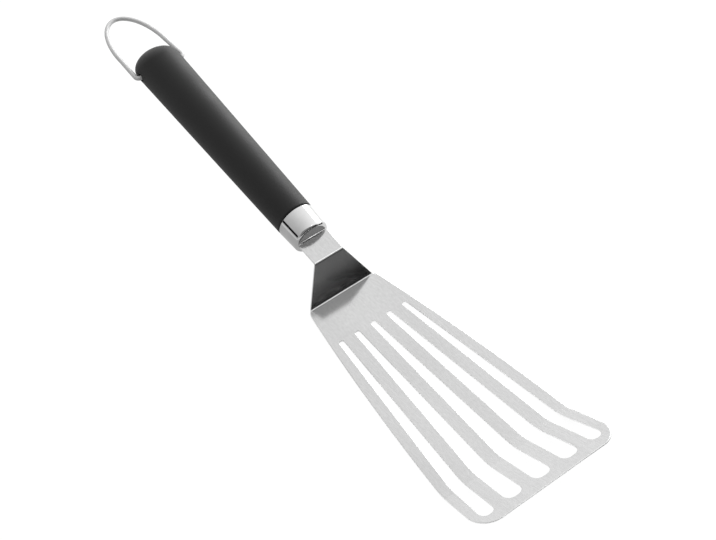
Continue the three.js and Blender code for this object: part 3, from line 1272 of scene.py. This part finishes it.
@dataclass
class Handle:
    """Ferrule and grip sleeve, turned on one axis, with the places that the hidden core shares."""

    axes: HandleFrame
    shelf_length: float
    # The ferrule, with the tang's slot and the lip above it.
    ferrule_length: float = 15.8
    ferrule_front_radius: float = 11.4
    ferrule_edge_radius: float = 1.9
    ferrule_rear_edge: float = 0.25
    ferrule_wall: float = 1.5
    slot_width: float = 13.6
    slot_height: float = 1.1
    lip_radius: float = 0.55
    lip_length: float = 18.2
    # The grip, and the bore that the loop's ends go through.
    grip_length: float = 156.6
    grip_front_radius: float = 12.15
    grip_tail_radius: float = 14.75
    grip_wall: float = 3.0
    grip_lip_radius: float = 1.5
    tail_dome: float = 11.5
    tail_slant: float = math.radians(20.0)
    core_margin: float = 3.0
    loop_setback: float = 15.0
    bore_radius: float = 2.6
    # How finely the turned forms are cut up, and which of their edges stay sharp.
    sides: int = 96
    dome_rings: int = 28
    side_rings: int = 40
    arc_step: float = math.radians(10.0)
    hold: float = 0.15
    crease: float = math.radians(32.0)

    def __post_init__(self) -> None:
        """Works out the places along the axis, measured back from the fold."""
        self.ferrule_front = self.shelf_length + CLEARANCE
        self.ferrule_rear = self.ferrule_front + self.ferrule_length
        self.grip_front = self.ferrule_rear + CLEARANCE
        self.grip_rear = self.grip_front + self.grip_length
        self.dome_start = self.grip_rear - self.tail_dome
        self.loop_pivot = self.grip_rear - self.loop_setback
        self.bore_rear = self.loop_pivot + self.core_margin + CLEARANCE

    def grip_radius(self, back: float) -> float:
        """Returns the grip's outer radius where its side is straight."""
        share = (back - self.grip_front) / (self.dome_start - self.grip_front)
        return lerp(self.grip_front_radius, self.grip_tail_radius, share)

    def core_radius(self, back: float) -> float:
        """Returns the radius of the hidden core inside the grip's wall."""
        return self.grip_radius(back) - (self.grip_wall + CLEARANCE)

    def build_ferrule(self, lathe: Lathe, finish: bpy.types.Material) -> bpy.types.Object:
        """Turns the polished cap, joins the slot's lip on and cuts the tang's slot in its face.

        Args:
            lathe: the turning tree.
            finish: the cap's material.

        Returns:
            The ferrule.
        """
        inner_face = self.ferrule_front + self.ferrule_wall
        corners = [
            (0.0, inner_face),
            (self.ferrule_front_radius - self.ferrule_wall, inner_face),
            (self.grip_front_radius - self.ferrule_wall, self.ferrule_rear),
            (self.grip_front_radius, self.ferrule_rear),
            (self.ferrule_front_radius, self.ferrule_front),
            (0.0, self.ferrule_front),
        ]
        radii = [0.0, 0.0, 0.0, self.ferrule_rear_edge, self.ferrule_edge_radius, 0.0]
        profile = [(*spot, 0.0) for spot in held_profile(corners, radii, self.arc_step, self.hold)]
        piece = put_in_scene("ferrule_cap", lathe.turn("ferrule_cap", profile, self.sides, finish))
        slot_level = self.axes.axis_drop
        lip_place = (-self.ferrule_front, 0.0, slot_level + self.slot_height / 2 + self.lip_radius)
        lip = cross_bar("slot_lip", self.lip_radius, self.lip_length, lip_place)
        work_solid(piece, lip, Work.JOIN, self.crease)
        slot_size = (2 * self.ferrule_wall, self.slot_width, self.slot_height)
        slot_place = (-(self.ferrule_front + self.ferrule_wall / 2), 0.0, slot_level)
        work_solid(piece, block("tang_slot", slot_size, slot_place), Work.CUT, self.crease)
        dress_whole(piece.data, finish)
        piece.data.transform(self.axes.matrix())
        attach(piece, Body.SPATULA.value)
        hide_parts("ferrule")
        return piece

    def grip_profile(self) -> list[Triple]:
        """Draws the sleeve's profile: its bore, its lip, its straight side and its domed tail.

        Returns:
            Points of radius, distance back, and share of the tail's slant.
        """
        corners = [
            (0.0, self.bore_rear),
            (self.grip_radius(self.bore_rear) - self.grip_wall, self.bore_rear),
            (self.grip_radius(self.grip_front) - self.grip_wall, self.grip_front),
            (self.grip_front_radius, self.grip_front),
            (self.grip_tail_radius, self.dome_start),
        ]
        radii = [0.0, 0.0, 0.0, self.grip_lip_radius, 0.0]
        # The last two points end the straight side, which gets rings of its own instead.
        line = held_profile(corners, radii, self.arc_step, self.hold)[:-2]
        profile = [(*spot, 0.0) for spot in line]
        for i in range(1, self.side_rings + 1):
            share = i / self.side_rings
            spot = line[-1].lerp(Vector(corners[-1]), share)
            profile.append((*spot, share))
        for i in range(1, self.dome_rings + 1):
            angle = math.pi / 2 * i / self.dome_rings
            radius = self.grip_tail_radius * math.cos(angle) if i < self.dome_rings else 0.0
            profile.append((radius, self.dome_start + self.tail_dome * math.sin(angle), 1.0))
        return profile

    def build_grip(self, lathe: Lathe, finish: bpy.types.Material) -> bpy.types.Object:
        """Turns the sleeve with its slanted tail and bores the loop's holes.

        Args:
            lathe: the turning tree.
            finish: the sleeve's material.

        Returns:
            The grip.
        """
        slant = math.tan(self.tail_slant)
        mesh = lathe.turn("soft_grip", self.grip_profile(), self.sides, finish, slant)
        piece = put_in_scene("soft_grip", mesh)
        bore_length = 4 * self.grip_tail_radius
        bore = cross_bar("loop_bore", self.bore_radius, bore_length, (-self.loop_pivot, 0.0, 0.0))
        work_solid(piece, bore, Work.CUT, self.crease)
        dress_whole(piece.data, finish)
        piece.data.transform(self.axes.matrix())
        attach(piece, Body.SPATULA.value)
        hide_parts("grip_sleeve")
        return piece


@dataclass
class HangingLoop:
    """Wire loop whose ends turn in to the core, and which swings on them."""

    wire_radius: float = 1.4
    length: float = 55.0
    # How far the wire runs straight before its round end.
    leg: float = 20.0
    pivot_width: float = 34.4
    eye_width: float = 32.6
    bend_radius: float = 2.6
    pin_reach: float = 6.0
    droop: float = math.radians(6.6)
    arc_step: float = math.radians(7.0)
    end_steps: int = 90
    wire_sides: int = 28

    def path(self, core_radius: float) -> list[Vector]:
        """Lays the wire's middle line in its own plane.

        Args:
            core_radius: the core's radius at the pivot, which the wire's ends reach into.

        Returns:
            The line's points, with the pivot at the origin and the loop along -X.
        """
        eye = self.eye_width / 2
        reach = self.length - self.leg
        corners = [(0.0, core_radius - self.pin_reach), (0.0, self.pivot_width / 2), (-self.leg, eye)]
        leg = round_corners(corners, [0.0, self.bend_radius, 0.0], False, self.arc_step)
        end = []
        for i in range(1, self.end_steps):
            angle = math.pi / 2 + math.pi * i / self.end_steps
            end.append(Vector((-self.leg + reach * math.cos(angle), eye * math.sin(angle))))
        mirrored = [Vector((spot.x, -spot.y)) for spot in reversed(leg)]
        return [Vector((spot.x, spot.y, 0.0)) for spot in [*leg, *end, *mirrored]]

    def wire_tree(self) -> GeometryTree:
        """Builds the tree that draws round wire along a line.

        Returns:
            The tree, with the wire's radius and its sides as inputs.
        """
        inputs = {"Wire radius": "NodeSocketFloat", "Sides": "NodeSocketInt"}
        made = GeometryTree("wire_along_line", inputs)
        nodes = made.nodes
        line = nodes.add("GeometryNodeMeshToCurve", {0: made.given["Geometry"]}).outputs[0]
        inputs = {"Resolution": made.given["Sides"], "Radius": made.given["Wire radius"]}
        section = nodes.add("GeometryNodeCurvePrimitiveCircle", inputs).outputs["Curve"]
        inputs = {"Curve": line, "Profile Curve": section, "Fill Caps": True}
        made.close(nodes.add("GeometryNodeCurveToMesh", inputs).outputs[0])
        return made

    def build(self, handle: Handle, finish: bpy.types.Material) -> bpy.types.Object:
        """Draws the wire and hangs it on the grip.

        Args:
            handle: the handle that carries it.
            finish: the wire's material.

        Returns:
            The loop.
        """
        guide = line_mesh("loop_line", self.path(handle.core_radius(handle.loop_pivot)))
        values = {"Wire radius": self.wire_radius, "Sides": self.wire_sides, "Material": finish}
        mesh = self.wire_tree().make("wire_loop", guide, values)
        turn_outwards(mesh)
        mesh.set_sharp_from_angle(angle=handle.crease)
        pivot = Matrix.Translation((-handle.loop_pivot, 0.0, 0.0))
        mesh.transform(handle.axes.matrix() @ pivot @ Matrix.Rotation(-self.droop, 4, "Y"))
        piece = put_in_scene("wire_loop", mesh)
        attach(piece, Body.LOOP.value)
        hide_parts("hanging_loop")
        return piece


@dataclass(frozen=True)
class Lamp:
    """One soft rectangular studio lamp, in metres."""

    name: str
    place: Triple
    aim: Triple
    width: float
    height: float
    brightness: float

    def build(self) -> None:
        """Hangs the lamp, with its power worked out from its face's brightness."""
        light = bpy.data.lights.new(self.name, "AREA")
        light.shape = "RECTANGLE"
        light.size = self.width
        light.size_y = self.height
        light.energy = self.brightness * math.pi * self.width * self.height
        holder = put_in_scene(self.name, light)
        holder.location = self.place
        look = Vector(self.aim) - Vector(self.place)
        holder.rotation_euler = look.to_track_quat("-Z", "Y").to_euler()


def bare_material(name: str) -> tuple[bpy.types.Material, NodeBuilder]:
    """Makes a material whose tree is still empty.

    Args:
        name: the material's name.

    Returns:
        The material, and a builder for its tree.
    """
    material = bpy.data.materials.new(name)
    material.use_nodes = True
    material.node_tree.nodes.clear()
    return material, NodeBuilder(material.node_tree)


def even_glow(nodes: NodeBuilder, strength: float) -> bpy.types.NodeSocket:
    """Returns the shader of a surface that glows evenly, in white."""
    inputs = {"Color": flat_grey(1.0), "Strength": strength}
    return nodes.add("ShaderNodeEmission", inputs).outputs[0]


def stage_card(name: str, work: bmesh.types.BMesh, glow: float) -> None:
    """Stands a card on the stage, where only what mirrors it sees it.

    Args:
        name: the card's name.
        work: its shape, which is freed here.
        glow: how bright it is, with 0 for black.
    """
    mesh = finished_mesh(name, work)
    material, nodes = bare_material(name)
    nodes.add("ShaderNodeOutputMaterial", {"Surface": even_glow(nodes, glow)})
    mesh.materials.append(material)
    card = put_in_scene(name, mesh)
    card.visible_camera = False
    card.visible_diffuse = False
    card.visible_shadow = False


@dataclass(frozen=True)
class Flag:
    """A studio card, black or glowing evenly, that sets what the steel mirrors, in metres."""

    name: str
    place: Triple
    aim: Triple
    width: float
    height: float
    spin: float = 0.0
    glow: float = 0.0

    def build(self) -> None:
        """Stands the card on the stage."""
        work = bmesh.new()
        bmesh.ops.create_grid(work, x_segments=1, y_segments=1, size=0.5)
        look = Vector(self.aim) - Vector(self.place)
        turn = look.to_track_quat("Z", "Y").to_matrix().to_4x4() @ Matrix.Rotation(self.spin, 4, "Z")
        size = Matrix.Diagonal((self.width, self.height, 1.0, 1.0))
        work.transform(Matrix.Translation(self.place) @ turn @ size)
        stage_card(self.name, work, self.glow)


def floor_card(name: str, x: float, y: float, width: float, height: float, **looks: float) -> Flag:
    """Returns a card that lies on the floor and faces up, with its spin and glow as Flag has them."""
    return Flag(name, (x, y, FLOOR_CARD_LEVEL), (x, y, 1.0), width, height, **looks)


@dataclass(frozen=True)
class Louvre:
    """Low black upright strips under the slots, in metres, which hide the floor only from a low angle:
    painted shade for the floor in the blade's shadow, as the riser mirrors it through the slots.
    """

    name: str = "slot_louvre"
    start: float = 0.0145
    pitch: float = 0.0028
    strips: int = 44
    width: float = 0.09
    low: float = -0.0005
    high: float = -0.00005
    glow: float = 0.0

    def build(self) -> None:
        """Stands the strips on the stage as one card."""
        work = bmesh.new()
        side = self.width / 2
        ends = [(-side, self.low), (side, self.low), (side, self.high), (-side, self.high)]
        for i in range(self.strips):
            x = self.start + self.pitch * i
            work.faces.new([work.verts.new((x, y, z)) for y, z in ends])
        stage_card(self.name, work, self.glow)


@dataclass
class Studio:
    """White floor and surround, soft lamps, and cards for the steel to mirror, in metres."""

    # The floor: its own shade, and the share and level of white that it shows to the eye and to steel.
    floor_size: float = 8.0
    floor_drop: float = 0.0005
    floor_shade: float = 0.85
    floor_glow: float = 0.78
    floor_white: float = 1.16
    # The world: what the camera sees, what lights the object, and what steel mirrors from -Y to +Y.
    shown_white: float = 1.08
    surround: float = 0.62
    mirrored_sky: Point = (0.6, 1.6)
    # Black strips under the slots, painted shade where the floor lies in the blade's shadow.
    louvre: Louvre = Louvre()
    lamps: list[Lamp] = field(default_factory=lambda: [
        Lamp("side_softbox", (-0.65, 1.1, 0.36), (-0.14, 0.0, 0.05), 0.75, 0.72, 6.0),
        Lamp("front_softbox", (0.34, 0.43, 1.07), (-0.02, 0.0, 0.01), 0.16, 0.24, 2.4),
    ])
    flags: list[Flag] = field(default_factory=lambda: [
        Flag("front_card", (1.05, 0.0, 0.535), (0.0, 0.0, 0.535), 2.4, 0.63, glow=0.12),
        Flag("low_front_card", (1.05, 0.0, 0.085), (0.0, 0.0, 0.085), 2.4, 0.27),
        floor_card("front_floor_card", 0.86, -0.4, 1.0, 1.0, glow=0.25),
        floor_card("near_floor_card", 0.04, 0.43, 0.16, 0.8, spin=FLOOR_CARD_SPIN),
        floor_card("far_floor_card", 0.62, 0.5, 1.0, 0.8, spin=FLOOR_CARD_SPIN, glow=0.25),
        Flag("high_card", (0.62, 0.42, 0.85), (-0.04, 0.0, 0.03), 0.3, 0.34, glow=0.5),
        Flag("camera_card", (0.69, -0.61, 0.98), (-0.15, 0.0, 0.045), 2.27, 1.43, glow=0.32),
        Flag("tip_card", (-1.5, 0.645, 0.29), (0.16, 0.0, 0.015), 1.4, 0.9, glow=1.39),
        Flag("left_card", (-0.235, -0.4, 0.11), (-0.05, 0.0, 0.04), 0.12, 0.09),
        # The dimmer card near the handle is a painted shadow of the handle on the floor, as the steel
        # mirrors it.
        floor_card("left_near_floor_card", -0.3, -0.1, 0.7, 0.2, glow=0.62),
        floor_card("left_far_floor_card", -0.3, -0.53, 0.7, 0.66, glow=0.85),
        floor_card("right_floor_card", -0.42, 0.43, 0.7, 0.86, glow=1.35),
    ])

    def seen_ray(self, nodes: NodeBuilder) -> bpy.types.NodeSocket:
        """Tells rays that show a surface from those that light one.

        Args:
            nodes: the builder of a material's or the world's tree.

        Returns:
            A socket that is 1 for camera, glossy and transmission rays, and 0 for the rest.
        """
        path = nodes.add("ShaderNodeLightPath").outputs
        shown = nodes.math("MAXIMUM", path["Is Camera Ray"], path["Is Glossy Ray"])
        return nodes.math("MAXIMUM", shown, path["Is Transmission Ray"])

    def build_world(self) -> None:
        """Lights the scene all round, shows white behind it, and lets steel mirror a sky graded along Y."""
        world = bpy.data.worlds.new("studio")
        world.use_nodes = True
        bpy.context.scene.world = world
        nodes = NodeBuilder(world.node_tree)
        background = world.node_tree.nodes["Background"]
        way = nodes.add("ShaderNodeTexCoord").outputs["Generated"]
        sky = nodes.mapped(nodes.split(way)["Y"], *self.mirrored_sky, start=-1.0)
        is_camera = nodes.add("ShaderNodeLightPath").outputs["Is Camera Ray"]
        seen = nodes.mapped(is_camera, sky, self.shown_white)
        strength = nodes.mapped(self.seen_ray(nodes), self.surround, seen)
        nodes.feed(background.inputs["Color"], flat_grey(1.0))
        nodes.feed(background.inputs["Strength"], strength)

    def build_floor(self) -> None:
        """Lays the pale floor, which glows white to the eye and still takes the object's shadow."""
        work = bmesh.new()
        bmesh.ops.create_grid(work, x_segments=1, y_segments=1, size=self.floor_size / 2)
        work.transform(Matrix.Translation((0.0, 0.0, -self.floor_drop)))
        mesh = finished_mesh("floor", work)
        material, nodes = bare_material("pale_floor")
        matte = nodes.add("ShaderNodeBsdfDiffuse", {"Color": flat_grey(self.floor_shade)}).outputs[0]
        share = nodes.math("MULTIPLY", self.seen_ray(nodes), self.floor_glow)
        inputs = {0: share, 1: matte, 2: even_glow(nodes, self.floor_white)}
        both = nodes.add("ShaderNodeMixShader", inputs).outputs[0]
        nodes.add("ShaderNodeOutputMaterial", {"Surface": both})
        mesh.materials.append(material)
        put_in_scene("floor", mesh)

    def build(self) -> None:
        """Sets up the whole studio."""
        self.build_world()
        self.build_floor()
        for fitting in (*self.lamps, *self.flags, self.louvre):
            fitting.build()


@dataclass(frozen=True)
class PhotoCamera:
    """The photograph's viewpoint, measured round the blade's heel."""

    target: Triple = (-13.37 * MM, 0.0, 1.0 * MM)
    azimuth: float = math.radians(56.6)
    elevation: float = math.radians(49.43)
    roll: float = math.radians(-4.907)
    distance: float = 880.1 * MM
    lens: float = 76.29
    sensor_width: float = 36.0
    shift: Point = (0.0213, 0.0316)
    view_end: float = 50.0

    def build(self) -> None:
        """Makes the camera and sets it as the scene's."""
        data = bpy.data.cameras.new("photo_camera")
        data.sensor_width = self.sensor_width
        data.lens = self.lens
        data.shift_x, data.shift_y = self.shift
        data.clip_end = self.view_end
        camera = put_in_scene("photo_camera", data)
        turn = (
            Matrix.Rotation(self.azimuth, 4, "Z")
            @ Matrix.Rotation(math.pi / 2 - self.elevation, 4, "X")
            @ Matrix.Rotation(self.roll, 4, "Z")
        )
        offset = Matrix.Translation((0.0, 0.0, self.distance))
        camera.matrix_world = Matrix.Translation(self.target) @ turn @ offset
        bpy.context.scene.camera = camera


def dress_node(frame: dict, node: str, finish: bpy.types.Material) -> None:
    """Gives a node that keeps its own mesh a better material.

    Args:
        node: the node's name.
        finish: its material.
    """
    frame["nodes"][node].material_slots[0].material = finish
    log.info("dressed %s", node)


def main() -> None:
    """Builds the studio and the camera, then the spatula around its frame."""
    logging.basicConfig(level=logging.INFO, format="%(name)s: %(message)s")
    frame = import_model()
    bpy.context.scene.view_settings.view_transform = "Standard"

    PhotoCamera().build()
    Studio().build()

    blade = Blade()
    handle = Handle(blade.frame(), blade.shelf_length)
    lathe = Lathe()
    pieces = [
        blade.build(SatinSteelFinish().build()),
        handle.build_ferrule(lathe, PolishedSteelFinish().build()),
        handle.build_grip(lathe, SoftBlackFinish().build()),
        HangingLoop().build(handle, DRAWN_WIRE.build()),
    ]
    for piece in pieces:
        log.info("built %s with %d faces", piece.name, len(piece.data.polygons))
    dress_node(frame, "handle_core", MOULDED_NYLON.build())
    pin_steel = DRAWN_PIN.build()
    for pin in ("tang_pin_front", "tang_pin_rear"):
        dress_node(frame, pin, pin_steel)


if __name__ == "__main__":
    main()
